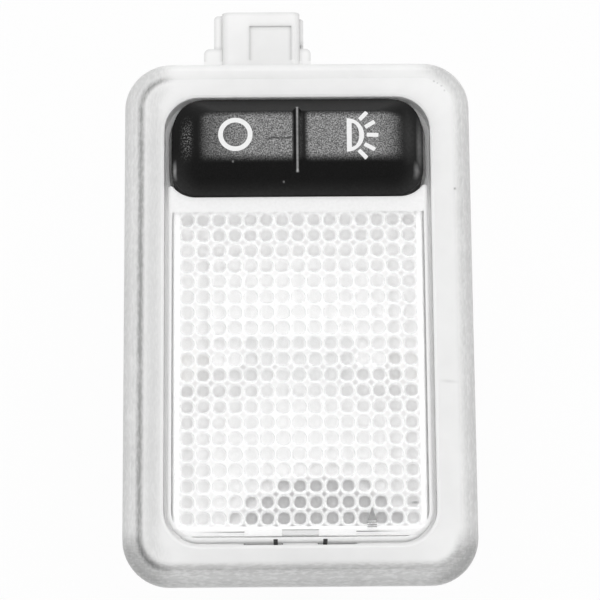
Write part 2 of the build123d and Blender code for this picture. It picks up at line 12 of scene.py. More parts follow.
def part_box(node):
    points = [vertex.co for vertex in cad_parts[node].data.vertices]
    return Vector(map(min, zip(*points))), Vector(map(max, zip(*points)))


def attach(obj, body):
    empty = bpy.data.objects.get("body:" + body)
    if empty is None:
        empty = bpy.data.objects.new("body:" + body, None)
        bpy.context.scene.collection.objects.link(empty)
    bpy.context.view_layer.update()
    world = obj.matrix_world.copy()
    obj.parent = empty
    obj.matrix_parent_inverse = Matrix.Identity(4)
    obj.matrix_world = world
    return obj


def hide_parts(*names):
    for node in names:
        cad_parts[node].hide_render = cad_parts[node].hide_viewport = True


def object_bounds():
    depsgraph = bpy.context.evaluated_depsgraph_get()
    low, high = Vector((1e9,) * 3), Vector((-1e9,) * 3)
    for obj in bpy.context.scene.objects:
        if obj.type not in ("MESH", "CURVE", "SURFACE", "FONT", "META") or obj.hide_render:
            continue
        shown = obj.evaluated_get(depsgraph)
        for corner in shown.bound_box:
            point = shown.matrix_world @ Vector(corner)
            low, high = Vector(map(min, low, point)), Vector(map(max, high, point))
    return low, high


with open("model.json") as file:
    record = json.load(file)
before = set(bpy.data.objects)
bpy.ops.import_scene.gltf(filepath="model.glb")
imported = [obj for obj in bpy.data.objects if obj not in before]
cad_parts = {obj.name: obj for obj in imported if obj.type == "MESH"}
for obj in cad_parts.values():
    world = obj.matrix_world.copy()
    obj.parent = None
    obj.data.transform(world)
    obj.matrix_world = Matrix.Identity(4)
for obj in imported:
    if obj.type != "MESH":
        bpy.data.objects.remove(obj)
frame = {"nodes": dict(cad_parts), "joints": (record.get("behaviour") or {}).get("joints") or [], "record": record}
nodes = frame["nodes"]
cad_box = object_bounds()

# Lengths are in metres, and numbers in tables without MM are in millimetres
MM = 0.001
NEAR = 0.001 * MM

# Range of noise over which a mottled colour goes from dark to light, and depth of fine relief
MOTTLE_RANGE = (0.35, 0.65)
RELIEF = 0.05 * MM

# Camera, as the photograph sees the lamp: the frame is square
CAMERA_TARGET = Vector((0.29, 3.47, 4.0)) * MM
CAMERA_DISTANCE = 498.2 * MM
CAMERA_AZIMUTH = math.radians(-1.62)
CAMERA_ELEVATION = math.radians(77.77)
CAMERA_ROLL = math.radians(1.18)
CAMERA_LENS = 148.8
CAMERA_SENSOR = 36.0
CAMERA_CLIP = 0.01

# Lens cells: a shallow cap and a steep flank, as rings of a radius and a depth under the plate
CELL_PITCH = 3.2 * MM
CELL_SEGMENTS = 32
CELL_SQUARENESS = 2.35
CELL_DEPTH = 0.7 * MM
CAP_RINGS = ((0.4, 0.672), (0.8, 0.585), (1.05, 0.495), (1.2, 0.42))
FLANK_RINGS = ((1.28, 0.34), (1.5, 0.06), (1.58, 0.0))
FIELD_OVERLAP = 0.25 * MM
FLAT_NORMAL = 0.999
LENS_LOOKS = ("clear_plastic", "rim_plastic", "frosted_plastic", "satin_plastic")
CLEAR, RIM, FROSTED, SATIN = range(len(LENS_LOOKS))

# Bezel: its outline and its opening, both about the origin, and the opening's walls, painted lighter to lift their
# shade
BEZEL_SIZE = (2 * cad_box[1].x, -2 * cad_box[0].y)
BEZEL_CORNER = 9.5 * MM
BEZEL_FRONT = ((-0.2, 0.3),)
BORDERS = (8.2 * MM, 7.85 * MM)
OPENING_SIZE = tuple(outer - 2 * border for outer, border in zip(BEZEL_SIZE, BORDERS))
OPENING_CORNER = 7.0 * MM
OPENING_EDGE = ((-0.2, -0.05),)
LIP_EDGE = ((4.2, 4.0),)
INNER_PAINTED_LIGHT = 1.09

# Painted shade on the bezel's borders: the edge of each side, then side, inset from the rim, half width and share
# taken off
SHADE_EDGES = {"left": ((-24.0, -30.0),), "right": ((24.0, 30.0),), "lower": ((-42.0, -48.0),)}
BORDER_SHADE = (
    ("left", 3.4, 1.1, 0.5), ("left", 1.2, 3.0, 0.27), ("left", 6.0, 3.5, 0.18),
    ("right", 1.2, 2.8, 0.31), ("lower", 1.6, 3.6, 0.42), ("lower", 3.7, 1.4, 0.26))
STREAK_SCALE = 2600.0
STREAK_STRETCH = 0.3
STREAK_RANGE = (0.3, 0.7)
STREAK_DEPTH = 0.5

# Marks on the bezel: patch and share taken off
MARKS = (
    (32.0, 26.8, 0.4, 0.4, 0.55), (30.0, -13.2, 2.6, 0.55, 0.14), (28.2, 49.6, 0.35, 0.35, 0.35),
    (28.9, 49.2, 0.3, 0.3, 0.3), (29.7, 48.6, 0.35, 0.3, 0.3), (30.3, 47.6, 0.3, 0.35, 0.25))

# Painted shade on the plug socket, in its creases and along its edges
PLUG_REACH = 10.5 * MM
PLUG_FADE = 0.3 * MM
CREASE_REACH = 0.9 * MM
CREASE_SAMPLES = 8
CREASE_SHADE = 0.55
EDGE_SHADE = 0.42

# Rocker: its face painted grey as a sheen, with less of it beside the groove, and a scratch on it
ROCKER_LOW, ROCKER_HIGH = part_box("switch_rocker")
ROCKER_CORNER = 6.5 * MM
FACE_GRAIN = 3600.0
FACE_DROP = 2.4 * MM
FACE_X = ((-20.3, -18.0), (-27.0, -8.0), (25.0, 15.0))
FACE_Y = ((30.7, 33.2), (41.7, 40.0))
GROOVE_SIDES = ((1.3, 1.3), (-0.5, 0.8))
SCRATCH_X = ((-7.6, -5.6), (-1.0, -1.5))
SCRATCH_Y = 35.7 * MM
SCRATCH_HALF = 0.3 * MM
SCRATCH_WOBBLE = 1.0 * MM
SCRATCH_SHADE = 0.75

# Pale dust on the rocker: scuffs and specks as patches; and a painted highlight as a line on the groove's floor
SCUFFS = ((-22.4, 36.3, 1.7, 5.5),)
SCUFF_RANGE = (0.46, 0.66)
SPECKS = ((-13.0, 31.0, 0.32, 0.32), (-2.8, 27.5, 0.32, 0.32))
SPECK_DUST = 0.4
GROOVE_FLOOR = 7.6 * MM
GROOVE_LINE = (0.45 * MM, 0.3 * MM)
GROOVE_HIGHLIGHT = 0.75

# Painted highlights on the rocker's edges: end, patch over the inset from its outline and y, and strength
EDGE_HIGHLIGHTS = (
    (-1, 0.7, 30.2, 0.6, 2.8, 0.5), (1, 0.8, 35.0, 1.0, 8.0, 0.22),
    (1, 1.4, 29.8, 1.0, 2.6, 0.3), (1, 3.2, 36.5, 2.8, 8.0, 0.055))
HIGHLIGHT_ENDS = ((20.5, 22.5),)
LOWER_REACH = 5.0 * MM
LOWER_HIGHLIGHT = 0.06

# Darker lines at the lens's lower edge, beside and between its snap tabs: y, half width, share taken off
SIDE_LINES = ((-43.1, 0.24, 0.85), (-43.6, 0.2, 0.2), (-44.1, 0.2, 0.4))
SIDE_X = ((11.0, 11.1), (23.0, 11.0))
MIDDLE_LINES = ((-42.7, 0.2, 0.5), (-43.8, 0.2, 0.5))
MIDDLE_X = ((3.7, 3.6),)

# Painted shade on the strip that these lines run in, and in the gaps at the two latch ends under it
STRIP_Y = ((-42.5, -42.6), (-44.1, -44.0))
STRIP_SHADE = 0.12
MIDDLE_SHADE = 0.2
LATCH_X = 4.9 * MM
LATCH_HALF = 0.6 * MM
LATCH_CUT = (0.1, 0.3)
LATCH_Y = ((-44.6, -44.7),)
LATCH_SHADE = 0.97

# How uneven the clear plastic is, and flecks on it: patch and share taken off
CLEAR_SPREAD = 0.01
FLECKS = ((22.66, -37.5, 1.3, 0.3, 0.75),)

# Switch symbols on the rocker's face: a ring, and a lamp whose rays run from one point to another
SYMBOL_LIFT = 0.02 * MM
SYMBOL_THICKNESS = 0.04 * MM
PROBE_HEIGHT = 1.0
RING_CENTRE = Vector((-12.5, 36.5)) * MM
RING_RADII = (3.47 * MM, 2.5 * MM)
RING_STEPS = 64
LAMP_LEFT = 9.96 * MM
LAMP_WIDTH = 3.5 * MM
LAMP_HEIGHT = 7.0 * MM
LAMP_STROKE = 1.0 * MM
LAMP_Y = 36.25 * MM
LAMP_ARC_STEPS = 24
LAMP_BACK_STEPS = 12
RAYS = (
    ((12.55, 39.4), (14.05, 41.0)), ((13.65, 37.85), (15.6, 39.02)), ((13.95, 36.27), (16.35, 36.2)),
    ((13.5, 34.37), (15.63, 33.17)), ((12.35, 33.07), (13.95, 31.4)))
RAY_STROKE = 0.84 * MM
RAY_CORNER = 0.2 * MM
RAY_CORNER_STEPS = 6
RAY_STEPS = 12

# Fitting arrow on the lens: its tip, its foot and the bars under it
ARROW_TIP = Vector((14.16, -38.4)) * MM
ARROW_BLUNT = 0.02 * MM
ARROW_WIDTH = 1.9 * MM
ARROW_LENGTH = 2.7 * MM
ARROW_BARS = 3
ARROW_BAR = 0.2 * MM
ARROW_BAR_PITCH = 0.45 * MM

# Light and floor, in metres and watts
WORLD_LEVEL = 0.6
KEY_AT = Vector((0.03, 0.2, 1.0))
KEY_SIZE = 1.0
KEY_WATTS = 5.0
FLOOR_SIZE = 4.0
FLOOR_GAP = 2.0 * MM
FLOOR_GREY = 0.9
FLOOR_WHITE = 0.94


def grey(level):
    """A colour with no hue."""
    return (level, level, level)


def set_sockets(node, values):
    """Sets a node's inputs by name."""
    for name, value in values.items():
        node.inputs[name].default_value = value


def new_material(name, sockets):
    """A node material with its tree and its main shader, whose sockets are set."""
    material = bpy.data.materials.new(name)
    material.use_nodes = True
    tree = material.node_tree
    shader = tree.nodes["Principled BSDF"]
    set_sockets(shader, sockets)
    return material, tree, shader


def calc(tree, operation, *values):
    """A Math node over one or two values, each a socket or a number."""
    node = tree.nodes.new("ShaderNodeMath")
    node.operation = operation
    for socket, value in zip(node.inputs, values):
        if isinstance(value, (int, float)):
            socket.default_value = value
        else:
            tree.links.new(value, socket)
    return node.outputs[0]


def times(tree, first, *others):
    """The product of any number of values."""
    for other in others:
        first = calc(tree, "MULTIPLY", first, other)
    return first


def largest(tree, first, *others):
    """The largest of any number of values."""
    for other in others:
        first = calc(tree, "MAXIMUM", first, other)
    return first


def place(tree):
    """X, Y and Z of the part's own frame."""
    where = tree.nodes.new("ShaderNodeTexCoord")
    split = tree.nodes.new("ShaderNodeSeparateXYZ")
    tree.links.new(where.outputs["Object"], split.inputs[0])
    return split.outputs


def noise(tree, scale, detail=2.0, stretch=(1.0, 1.0, 1.0)):
    """Noise over the part's own frame, in features per metre, scaled along each axis."""
    where = tree.nodes.new("ShaderNodeTexCoord")
    scaled = tree.nodes.new("ShaderNodeVectorMath")
    scaled.operation = "MULTIPLY"
    scaled.inputs[1].default_value = stretch
    texture = tree.nodes.new("ShaderNodeTexNoise")
    set_sockets(texture, {"Scale": scale, "Detail": detail})
    tree.links.new(where.outputs["Object"], scaled.inputs[0])
    tree.links.new(scaled.outputs[0], texture.inputs["Vector"])
    return texture.outputs["Fac"]


def ramp(tree, value, stops):
    """A colour that follows a value through stops, each a value and a colour."""
    node = tree.nodes.new("ShaderNodeValToRGB")
    points = node.color_ramp.elements
    while len(points) < len(stops):
        points.new(1.0)
    for point, (position, colour) in zip(points, stops):
        point.position = position
        point.color = (*colour, 1.0)
    tree.links.new(value, node.inputs["Fac"])
    return node.outputs["Color"]


def mottle(tree, dark, light, scale, detail=2.0):
    """A colour that wanders between two."""
    return ramp(tree, noise(tree, scale, detail), tuple(zip(MOTTLE_RANGE, (dark, light))))


def bump(tree, shader, height, strength):
    """Fine relief on a surface."""
    node = tree.nodes.new("ShaderNodeBump")
    set_sockets(node, {"Strength": strength, "Distance": RELIEF})
    tree.links.new(height, node.inputs["Height"])
    tree.links.new(node.outputs["Normal"], shader.inputs["Normal"])


def between(tree, value, none, full):
    """0 at one value and 1 at another, smooth in between."""
    node = tree.nodes.new("ShaderNodeMapRange")
    node.interpolation_type = "SMOOTHSTEP"
    set_sockets(node, {"From Min": none, "From Max": full})
    tree.links.new(value, node.inputs["Value"])
    return node.outputs["Result"]


def within(tree, value, edges):
    """1 inside soft edges, each given by where it is none and where it is full."""
    return times(tree, *(between(tree, value, none * MM, full * MM) for none, full in edges))


def band(tree, value, centre, half):
    """1 at a centre, falling smoothly to 0 at a distance from it."""
    away = calc(tree, "ABSOLUTE", calc(tree, "SUBTRACT", value, centre))
    return between(tree, away, half, 0.0)


def patch(tree, x, y, where):
    """1 in the middle of a soft patch, given by its centre and its half widths."""
    centre_x, centre_y, half_x, half_y = (value * MM for value in where)
    return times(tree, band(tree, x, centre_x, half_x), band(tree, y, centre_y, half_y))


def inset_from_rim(tree, x, y, size, radius):
    """How far a point lies inside an outline about the origin that has round corners."""
    over_x = calc(tree, "SUBTRACT", calc(tree, "ABSOLUTE", x), size[0] / 2 - radius)
    over_y = calc(tree, "SUBTRACT", calc(tree, "ABSOLUTE", y), size[1] / 2 - radius)
    out_x = calc(tree, "MAXIMUM", over_x, 0.0)
    out_y = calc(tree, "MAXIMUM", over_y, 0.0)
    squares = calc(tree, "ADD", times(tree, out_x, out_x), times(tree, out_y, out_y))
    straight = calc(tree, "MINIMUM", largest(tree, over_x, over_y), 0.0)
    outside = calc(tree, "ADD", calc(tree, "SQRT", squares), straight)
    return calc(tree, "SUBTRACT", radius, outside)


def near_edges(tree, reach, outer):
    """1 in sharp creases of a piece or at its sharp outer edges."""
    node = tree.nodes.new("ShaderNodeAmbientOcclusion")
    node.inside = outer
    node.only_local = True
    node.samples = CREASE_SAMPLES
    node.inputs["Distance"].default_value = reach
    return calc(tree, "SUBTRACT", 1.0, node.outputs["AO"])


def mix_colours(tree, share, first, second, blend="MIX"):
    """Two colours mixed by a share, of which the second may be a plain colour."""
    mix = tree.nodes.new("ShaderNodeMix")
    mix.data_type = "RGBA"
    mix.blend_type = blend
    sockets = {socket.identifier: socket for socket in mix.inputs}
    tree.links.new(share, sockets["Factor_Float"])
    tree.links.new(first, sockets["A_Color"])
    if isinstance(second, tuple):
        sockets["B_Color"].default_value = (*second, 1.0)
    else:
        tree.links.new(second, sockets["B_Color"])
    return {socket.identifier: socket for socket in mix.outputs}["Result_Color"]


def darken(tree, colour, mask, amount):
    """A colour with a share taken off where a mask is 1."""
    return mix_colours(tree, mask, colour, grey(1.0 - amount), "MULTIPLY")


def mix_shaders(tree, share, first, second):
    """Two shaders mixed by a share."""
    mix = tree.nodes.new("ShaderNodeMixShader")
    for value, socket in zip((share, first, second), mix.inputs):
        tree.links.new(value, socket)
    return mix.outputs[0]


def let_lamps_through(tree, shader):
    """Shadow rays pass, so that lamps light what lies behind clear walls."""
    path = tree.nodes.new("ShaderNodeLightPath")
    clear = tree.nodes.new("ShaderNodeBsdfTransparent")
    surface = mix_shaders(tree, path.outputs["Is Shadow Ray"], shader.outputs[0], clear.outputs[0])
    tree.links.new(surface, tree.nodes["Material Output"].inputs["Surface"])


def streaks(tree, stretch):
    """Streaks about 1, of noise drawn out along an axis."""
    drawn = between(tree, noise(tree, STREAK_SCALE, detail=4.0, stretch=stretch), *STREAK_RANGE)
    return calc(tree, "ADD", 1.0 - STREAK_DEPTH / 2, times(tree, drawn, STREAK_DEPTH))


def bezel_shade_and_marks(tree, colour, x, y, z):
    """A colour with streaky painted shade along the bezel's borders and marks on its front."""
    inset = inset_from_rim(tree, x, y, BEZEL_SIZE, BEZEL_CORNER)
    front = within(tree, z, BEZEL_FRONT)
    weights = {}
    for side, edges in SHADE_EDGES.items():
        if side == "lower":
            across, stretch = y, (STREAK_STRETCH, 1.0, 1.0)
        else:
            across, stretch = x, (1.0, STREAK_STRETCH, 1.0)
        weights[side] = times(tree, within(tree, across, edges), streaks(tree, stretch), front)
    # Painted shade in bands along the left, right and lower borders
    for side, centre, half, amount in BORDER_SHADE:
        mask = times(tree, band(tree, inset, centre * MM, half * MM), weights[side])
        colour = darken(tree, colour, mask, amount)
    for *where, amount in MARKS:
        colour = darken(tree, colour, times(tree, patch(tree, x, y, where), front), amount)
    return colour


def plug_painted_shade(tree, colour, y):
    """A colour with painted shade in the plug socket's creases and along its edges."""
    start = cad_box[1].y - PLUG_REACH
    plug = between(tree, y, start, start + PLUG_FADE)
    for outer, amount in ((False, CREASE_SHADE), (True, EDGE_SHADE)):
        mask = times(tree, near_edges(tree, CREASE_REACH, outer), plug)
        colour = darken(tree, colour, mask, amount)
    return colour


def painted_light_walls(tree, x, y, z):
    """1 inside the bezel's opening, below its lip, where the walls are painted lighter to lift their shade."""
    inset = inset_from_rim(tree, x, y, OPENING_SIZE, OPENING_CORNER)
    return times(tree, within(tree, inset, OPENING_EDGE), within(tree, z, LIP_EDGE))


def milky_plastic():
    """Translucent white moulding, with painted shade on its bezel's borders and in its plug socket, marks on its
    bezel, and its opening's walls painted lighter.
    """
    material, tree, shader = new_material("milky_plastic", {
        "Roughness": 0.4, "IOR": 1.5, "Subsurface Weight": 0.8,
        "Subsurface Radius": grey(1.0), "Subsurface Scale": 2.5 * MM})
    x, y, z = place(tree)
    colour = mottle(tree, (0.87, 0.87, 0.867), (0.91, 0.91, 0.907), scale=120.0, detail=4.0)
    # Painted shade along the bezel's borders, and marks on its front
    colour = bezel_shade_and_marks(tree, colour, x, y, z)
    # The opening's walls painted lighter, as painted light against their shade
    colour = mix_colours(tree, painted_light_walls(tree, x, y, z), colour, grey(INNER_PAINTED_LIGHT), "MULTIPLY")
    # Painted shade in the plug socket's creases and along its edges
    colour = plug_painted_shade(tree, colour, y)
    tree.links.new(colour, shader.inputs["Base Color"])
    bump(tree, shader, noise(tree, scale=3000.0), strength=0.08)
    return material


def rocker_face(tree, grain, x, y):
    """Grey grain, painted as the face's sheen, with a dark scratch."""
    colour = ramp(tree, grain, ((0.33, grey(0.06)), (0.5, grey(0.21)), (0.67, grey(0.46))))
    wobble = times(tree, calc(tree, "SUBTRACT", noise(tree, scale=700.0), 0.5), SCRATCH_WOBBLE)
    line = band(tree, calc(tree, "ADD", y, wobble), SCRATCH_Y, SCRATCH_HALF)
    return darken(tree, colour, times(tree, line, within(tree, x, SCRATCH_X)), SCRATCH_SHADE)


def rocker_sheen(tree, x, y, z):
    """1 where the rocker's face is painted grey as a sheen."""
    top = between(tree, z, ROCKER_HIGH.z - FACE_DROP, ROCKER_HIGH.z)
    sheen = times(tree, top, within(tree, x, FACE_X), within(tree, y, FACE_Y))
    for centre, half in GROOVE_SIDES:
        shaded = band(tree, x, centre * MM, half * MM)
        sheen = times(tree, sheen, calc(tree, "SUBTRACT", 1.0, shaded))
    return sheen


def rocker_dust_and_highlights(tree, x, y, z):
    """How much pale dust and painted highlight covers the rocker."""
    dots = between(tree, noise(tree, scale=3200.0, detail=1.0), *SCUFF_RANGE)
    spots = [times(tree, dots, patch(tree, x, y, scuff)) for scuff in SCUFFS]
    spots += [patch(tree, x, y, speck) for speck in SPECKS]
    half_width, half_height = GROOVE_LINE
    # A painted highlight along the groove's floor
    groove = times(tree, band(tree, z, GROOVE_FLOOR, half_height), band(tree, x, 0.0, half_width))

    size = ROCKER_HIGH - ROCKER_LOW
    off_y = calc(tree, "SUBTRACT", y, (ROCKER_LOW.y + ROCKER_HIGH.y) / 2)
    inset = inset_from_rim(tree, x, off_y, size, ROCKER_CORNER)
    # Painted highlights along the rocker's ends and its lower edge
    highlights = []
    for end, *where, amount in EDGE_HIGHLIGHTS:
        at_end = within(tree, times(tree, x, float(end)), HIGHLIGHT_ENDS)
        highlights.append(times(tree, patch(tree, inset, y, where), at_end, amount))
    lower = between(tree, off_y, 0.0, -size.y / 2)
    highlights.append(times(tree, between(tree, inset, LOWER_REACH, 0.0), lower, LOWER_HIGHLIGHT))
    dusty = times(tree, largest(tree, *spots), SPECK_DUST)
    return largest(tree, dusty, times(tree, groove, GROOVE_HIGHLIGHT), *highlights)


def black_plastic():
    """Black moulding: smooth flanks, a grained face painted grey as a sheen, pale dust, and painted highlights."""
    material, tree, shader = new_material("black_plastic", {
        "Roughness": 0.42, "IOR": 1.5, "Specular IOR Level": 0.08})
    x, y, z = place(tree)
    grain = noise(tree, FACE_GRAIN, detail=3.0)
    flank = mottle(tree, grey(0.003), grey(0.007), scale=4000.0)
    # The face painted grey as a sheen over the black flanks
    colour = mix_colours(tree, rocker_sheen(tree, x, y, z), flank, rocker_face(tree, grain, x, y))
    pale = mottle(tree, grey(0.45), grey(0.6), scale=1500.0)
    # Pale dust, and painted highlights on the rocker's edges and in its groove
    colour = mix_colours(tree, rocker_dust_and_highlights(tree, x, y, z), colour, pale)
    tree.links.new(colour, shader.inputs["Base Color"])
    bump(tree, shader, grain, strength=0.3)
    return material


def clear_plastic(name, level, roughness, clarity):
    """Clear moulding, faintly uneven, with flecks on it."""
    material, tree, shader = new_material(name, {
        "Roughness": roughness, "IOR": 1.49, "Transmission Weight": clarity})
    x, y, _ = place(tree)
    colour = mottle(tree, grey(level - CLEAR_SPREAD), grey(level), scale=500.0)
    for *where, amount in FLECKS:
        colour = darken(tree, colour, patch(tree, x, y, where), amount)
    tree.links.new(colour, shader.inputs["Base Color"])
    let_lamps_through(tree, shader)
    return material


def frosted_plastic():
    """The grooves between the lens's cells, matt and bright."""
    material, tree, shader = new_material("frosted_plastic", {
        "Roughness": 0.5, "IOR": 1.49, "Transmission Weight": 0.25})
    colour = mottle(tree, grey(0.95), grey(0.98), scale=1500.0)
    tree.links.new(colour, shader.inputs["Base Color"])
    let_lamps_through(tree, shader)
    return material


def rim_plastic():
    """The lens's margins and walls, which scatter light, with darker lines and painted shade along its lower edge
    and at its latch ends.
    """
    material, tree, shader = new_material("rim_plastic", {
        "Roughness": 0.5, "IOR": 1.49, "Subsurface Weight": 0.7,
        "Subsurface Radius": grey(1.0), "Subsurface Scale": 1.5 * MM})
    x, y, _ = place(tree)
    colour = mottle(tree, grey(0.91), grey(0.95), scale=1500.0)
    off_x = calc(tree, "ABSOLUTE", x)
    sides = within(tree, off_x, SIDE_X)
    middle = within(tree, off_x, MIDDLE_X)
    for region, lines in ((sides, SIDE_LINES), (middle, MIDDLE_LINES)):
        for line_y, half, amount in lines:
            mask = times(tree, region, band(tree, y, line_y * MM, half * MM))
            colour = darken(tree, colour, mask, amount)
    strip = within(tree, y, STRIP_Y)
    colour = darken(tree, colour, strip, STRIP_SHADE)
    colour = darken(tree, colour, times(tree, middle, strip), MIDDLE_SHADE)
    # Painted shade of the gaps at the two latch ends
    latch = between(tree, band(tree, off_x, LATCH_X, LATCH_HALF), *LATCH_CUT)
    colour = darken(tree, colour, times(tree, latch, within(tree, y, LATCH_Y)), LATCH_SHADE)
    tree.links.new(colour, shader.inputs["Base Color"])
    let_lamps_through(tree, shader)
    return material


def clear_glass():
    """The bulb's glass."""
    material, tree, shader = new_material("clear_glass", {
        "Roughness": 0.0, "IOR": 1.5, "Transmission Weight": 1.0})
    colour = mottle(tree, (0.975, 0.98, 0.98), (0.985, 0.99, 0.99), scale=300.0)
    tree.links.new(colour, shader.inputs["Base Color"])
    let_lamps_through(tree, shader)
    return material


def metal(name, dark, light, roughness):
    """Bare metal, mottled and faintly rough."""
    material, tree, shader = new_material(name, {"Metallic": 1.0, "Roughness": roughness})
    colour = mottle(tree, dark, light, scale=400.0, detail=3.0)
    tree.links.new(colour, shader.inputs["Base Color"])
    bump(tree, shader, noise(tree, scale=2000.0), strength=0.05)
    return material


def paint(name, dark, light, roughness, scale):
    """Grey or white paint, faintly mottled."""
    material, tree, shader = new_material(name, {"Roughness": roughness, "IOR": 1.5})
    colour = mottle(tree, grey(dark), grey(light), scale, detail=3.0)
    tree.links.new(colour, shader.inputs["Base Color"])
    return material


def dress_nodes(looks):
    """Gives every CAD node the look of its material slot."""
    for part in frame["record"]["subparts"]:
        mesh = nodes[part["node"]].data
        mesh.materials.clear()
        mesh.materials.append(looks[part["material_slot"]])


def add_piece(name, bm, materials, body):
    """A piece made of a finished mesh, which rides on a body."""
    bmesh.ops.recalc_face_normals(bm, faces=bm.faces)
    mesh = bpy.data.meshes.new(name)
    bm.to_mesh(mesh)
    bm.free()
    for material in materials:
        mesh.materials.append(material)
    piece = bpy.data.objects.new(name, mesh)
    bpy.context.scene.collection.objects.link(piece)
    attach(piece, body)
    return piece


def surface_under(node):
    """Height finder over a CAD node, from above."""
    mesh = nodes[node].data
    tree = BVHTree.FromPolygons([v.co for v in mesh.vertices], [p.vertices for p in mesh.polygons])

    def height(point):
        above = Vector((point.x, point.y, PROBE_HEIGHT))
        return tree.ray_cast(above, Vector((0, 0, -1)))[0].z
    return height


def add_strip(bm, inner, outer, height, closed):
    """A thin raised strip between two rows of points that lies on a surface."""
    rows = []
    for row in (inner, outer):
        rows.append([Vector((p.x, p.y, height(p) + SYMBOL_LIFT)) for p in row])
    lift = Vector((0, 0, SYMBOL_THICKNESS))
    low = [[bm.verts.new(p) for p in row] for row in rows]
    high = [[bm.verts.new(p + lift) for p in row] for row in rows]
    count = len(inner)
    for i in range(count if closed else count - 1):
        j = (i + 1) % count
        bm.faces.new((high[0][i], high[0][j], high[1][j], high[1][i]))
        bm.faces.new((low[0][j], low[0][i], low[1][i], low[1][j]))
        bm.faces.new((low[0][i], low[0][j], high[0][j], high[0][i]))
        bm.faces.new((low[1][j], low[1][i], high[1][i], high[1][j]))
    if not closed:
        for i in (0, count - 1):
            bm.faces.new((low[0][i], low[1][i], high[1][i], high[0][i]))


def ring_outline(radius):
    """Points round a circle of the ring symbol."""
    turn = 2 * math.pi / RING_STEPS
    angles = [i * turn for i in range(RING_STEPS)]
    return [RING_CENTRE + radius * Vector((math.cos(angle), math.sin(angle))) for angle in angles]


def lamp_outline(inset):
    """Bowl of the lamp symbol: an elliptic front and a straight back."""
    half = LAMP_HEIGHT / 2 - inset
    reach = LAMP_WIDTH - 2 * inset
    left = LAMP_LEFT + inset
    points = []
    for i in range(LAMP_ARC_STEPS + 1):
        angle = math.pi / 2 - math.pi * i / LAMP_ARC_STEPS
        points.append(Vector((left + reach * math.cos(angle), LAMP_Y + half * math.sin(angle))))
    for i in range(1, LAMP_BACK_STEPS):
        points.append(Vector((left, LAMP_Y - half + 2 * half * i / LAMP_BACK_STEPS)))
    return points


def add_ray(bm, start, end, height):
    """A stroke with rounded corners."""
    start, end = Vector(start) * MM, Vector(end) * MM
    length = (end - start).length
    along = (end - start).normalized()
    across = Vector((-along.y, along.x))
    turns = [math.pi / 2 * i / RAY_CORNER_STEPS for i in range(RAY_CORNER_STEPS + 1)]
    corners = [(RAY_CORNER * (1 - math.cos(turn)), RAY_CORNER * (1 - math.sin(turn))) for turn in turns]
    # The first two and the last two steps are left to the corners
    straight = [(length * i / RAY_STEPS, 0.0) for i in range(2, RAY_STEPS - 1)]
    ends = [(length - distance, narrowing) for distance, narrowing in reversed(corners)]
    left, right = [], []
    for distance, narrowing in corners + straight + ends:
        middle = start + along * distance
        aside = across * (RAY_STROKE / 2 - narrowing)
        left.append(middle + aside)
        right.append(middle - aside)
    add_strip(bm, right, left, height, closed=False)


def add_symbols():
    """The switch signs: a ring for off and a lamp for on."""
    height = surface_under("switch_rocker")
    white = paint("symbol_paint", 0.84, 0.9, roughness=0.5, scale=2500.0)
    bm = bmesh.new()
    outer, inner = (ring_outline(radius) for radius in RING_RADII)
    add_strip(bm, inner, outer, height, closed=True)
    add_piece("symbol_off", bm, [white], "rocker")
    bm = bmesh.new()
    add_strip(bm, lamp_outline(LAMP_STROKE), lamp_outline(0.0), height, closed=True)
    for start, end in RAYS:
        add_ray(bm, start, end, height)
    add_piece("symbol_lamp", bm, [white], "rocker")


def add_arrow():
    """A plain arrow with bars under it, which shows which way round the lens goes in."""
    height = surface_under("lens")
    half = ARROW_WIDTH / 2
    foot_y = ARROW_TIP.y - ARROW_LENGTH
    bm = bmesh.new()
    sides = []
    for side in (-1, 1):
        foot = Vector((ARROW_TIP.x + side * half, foot_y))
        tip = Vector((ARROW_TIP.x + side * ARROW_BLUNT, ARROW_TIP.y))
        sides.append([foot, tip])
    add_strip(bm, *sides, height, closed=False)
    for i in range(1, ARROW_BARS + 1):
        low_y = foot_y - i * ARROW_BAR_PITCH
        rows = []
        for y in (low_y, low_y + ARROW_BAR):
            rows.append([Vector((ARROW_TIP.x + side * half, y)) for side in (-1, 1)])
        add_strip(bm, *rows, height, closed=False)
    arrow_grey = paint("arrow_grey", 0.26, 0.36, roughness=0.5, scale=2500.0)
    arrow = add_piece("fitting_arrow", bm, [arrow_grey], "lamp")


def cell_outlines():
    """Spokes of a cell: of its rounded square, to its border and to the diamonds at its corners."""
    turn = 2 * math.pi / CELL_SEGMENTS
    half = CELL_PITCH / 2
    rounds, borders, diamonds = [], [], []
    for i in range(CELL_SEGMENTS):
        spoke = Vector((math.cos(i * turn), math.sin(i * turn)))
        across, along = abs(spoke.x), abs(spoke.y)
        size = (across ** CELL_SQUARENESS + along ** CELL_SQUARENESS) ** (1 / CELL_SQUARENESS)
        rounds.append(spoke / size)
        borders.append(spoke * half / max(across, along))
        diamonds.append(spoke * half * (1 + math.tan(math.pi / 4 - turn)) / (across + along))
    return rounds, borders, diamonds


